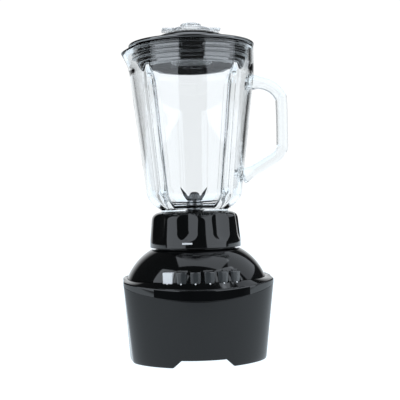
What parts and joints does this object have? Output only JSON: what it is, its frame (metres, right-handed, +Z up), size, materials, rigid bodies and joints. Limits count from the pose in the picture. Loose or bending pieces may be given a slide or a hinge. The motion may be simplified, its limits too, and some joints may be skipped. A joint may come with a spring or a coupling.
{
  "type": "countertop blender",
  "caption": "Countertop blender: ribbed glass jar with spout and handle, lid with clear measuring cap, grip collar with blades, domed motor base with a row of keys.",
  "frame": {"origin": "on the table, on the motor's axis, in the middle of the four feet", "axes": "+Z up along the motor shaft, -Y the front with the keys, +X the jar's handle, -X the spout"},
  "size_m": [0.1885, 0.1633, 0.3722],
  "materials": {
    "gloss_black": "high gloss",
    "satin_black": "satin",
    "cover_black": "fine grain",
    "key_white": "satin",
    "key_silver": "metallic",
    "jar_glass": "clear with a faint green edge",
    "cap_clear": "clear plastic",
    "blade_steel": "ground",
    "steel": "plain",
    "core_steel": "laminated",
    "copper_wire": "enamelled wire",
    "brass": "turned",
    "bracket_metal": "cast",
    "rubber": "matt",
    "seal": "smooth silicone",
    "gasket_clear": "milky silicone",
    "carbon": "matt",
    "board_green": "circuit board",
    "switch_cream": "moulded",
    "holder_brown": "moulded"
  },
  "bodies": {
    "base": {"lower_housing": "satin_black", "control_ring": "gloss_black", "upper_housing": "gloss_black", "bottom_cover": "cover_black", "rubber_feet": "rubber", "cover_screws": "steel", "cord_gland": "rubber", "switch_block": "switch_cream", "power_board": "board_green", "seat_ring": "rubber", "shaft_seal": "rubber", "motor_upper_bracket": "bracket_metal", "motor_lower_bracket": "bracket_metal", "stator_core": "core_steel", "field_coils": "copper_wire", "upper_bearing": "steel", "lower_bearing": "steel", "brush_holders": "holder_brown", "carbon_brushes": "carbon", "brush_springs": "steel", "motor_bolts": "steel", "motor_spacers": "steel", "motor_mounts": "rubber", "key_spring_1": "steel", "key_spring_2": "steel", "key_spring_3": "steel", "key_spring_4": "steel", "key_spring_5": "steel", "key_spring_6": "steel"},
    "rotor": {"motor_shaft": "steel", "rotor_core": "core_steel", "rotor_windings": "copper_wire", "commutator": "brass", "cooling_fan": "cover_black", "drive_coupling": "rubber"},
    "key_1": {"key_1": "key_white"},
    "key_2": {"key_2": "key_silver"},
    "key_3": {"key_3": "key_silver"},
    "key_4": {"key_4": "key_silver"},
    "key_5": {"key_5": "key_silver"},
    "key_6": {"key_6": "key_silver"},
    "collar_unit": {"jar_collar": "gloss_black", "blade_base": "satin_black", "blade_bushings": "brass", "blade_seal": "seal", "blade_base_nut": "steel"},
    "blades": {"blade_shaft": "steel", "lower_blades": "blade_steel", "upper_blades": "blade_steel", "blade_washers": "steel", "blade_nut": "blade_steel", "driven_coupling": "rubber"},
    "gasket": {"jar_gasket": "gasket_clear"},
    "jar": {"glass_jar": "jar_glass"},
    "lid": {"lid": "gloss_black", "lid_seal": "seal"},
    "cap": {"measuring_cap": "cap_clear"}
  },
  "joints": [
    {"name": "motor_spin", "type": "hinge", "parent": "base", "child": "rotor", "pos_m": [0, 0, 0.064], "axis": [0, 0, 1], "continuous": true},
    {"name": "key_1_press", "type": "slide", "parent": "base", "child": "key_1", "axis": [0, 0, -1], "range_m": [0, 0.004], "stiffness_N_per_m": 250, "springref_m": -0.003, "deforming": ["key_spring_1"]},
    {"name": "key_2_press", "type": "slide", "parent": "base", "child": "key_2", "axis": [0, 0, -1], "range_m": [0, 0.004], "stiffness_N_per_m": 250, "springref_m": -0.003, "deforming": ["key_spring_2"]},
    {"name": "key_3_press", "type": "slide", "parent": "base", "child": "key_3", "axis": [0, 0, -1], "range_m": [0, 0.004], "stiffness_N_per_m": 250, "springref_m": -0.003, "deforming": ["key_spring_3"]},
    {"name": "key_4_press", "type": "slide", "parent": "base", "child": "key_4", "axis": [0, 0, -1], "range_m": [0, 0.004], "stiffness_N_per_m": 250, "springref_m": -0.003, "deforming": ["key_spring_4"]},
    {"name": "key_5_press", "type": "slide", "parent": "base", "child": "key_5", "axis": [0, 0, -1], "range_m": [0, 0.004], "stiffness_N_per_m": 250, "springref_m": -0.003, "deforming": ["key_spring_5"]},
    {"name": "key_6_press", "type": "slide", "parent": "base", "child": "key_6", "axis": [0, 0, -1], "range_m": [0, 0.004], "stiffness_N_per_m": 250, "springref_m": -0.003, "deforming": ["key_spring_6"]},
    {"name": "jar_lift", "type": "slide", "parent": "base", "child": "collar_unit", "axis": [0, 0, 1], "range_m": [0, 0.06]},
    {"name": "blade_spin", "type": "hinge", "parent": "collar_unit", "child": "blades", "pos_m": [0, 0, 0.15], "axis": [0, 0, 1], "continuous": true},
    {"name": "jar_unscrew", "type": "hinge", "parent": "collar_unit", "child": "gasket", "pos_m": [0, 0, 0.145], "axis": [0, 0, 1], "range_deg": [0, 360]},
    {"name": "jar_rise", "type": "slide", "parent": "gasket", "child": "jar", "axis": [0, 0, 1], "range_m": [0, 0.006]},
    {"name": "lid_lift", "type": "slide", "parent": "jar", "child": "lid", "axis": [0, 0, 1], "range_m": [0, 0.08]},
    {"name": "cap_lift", "type": "slide", "parent": "lid", "child": "cap", "axis": [0, 0, 1], "range_m": [0, 0.06]}
  ],
  "couplings": [
    {"joint": "blade_spin", "follows": "motor_spin", "ratio": 1},
    {"joint": "jar_rise", "follows": "jar_unscrew", "m_per_rad": 0.00095493}
  ]
}
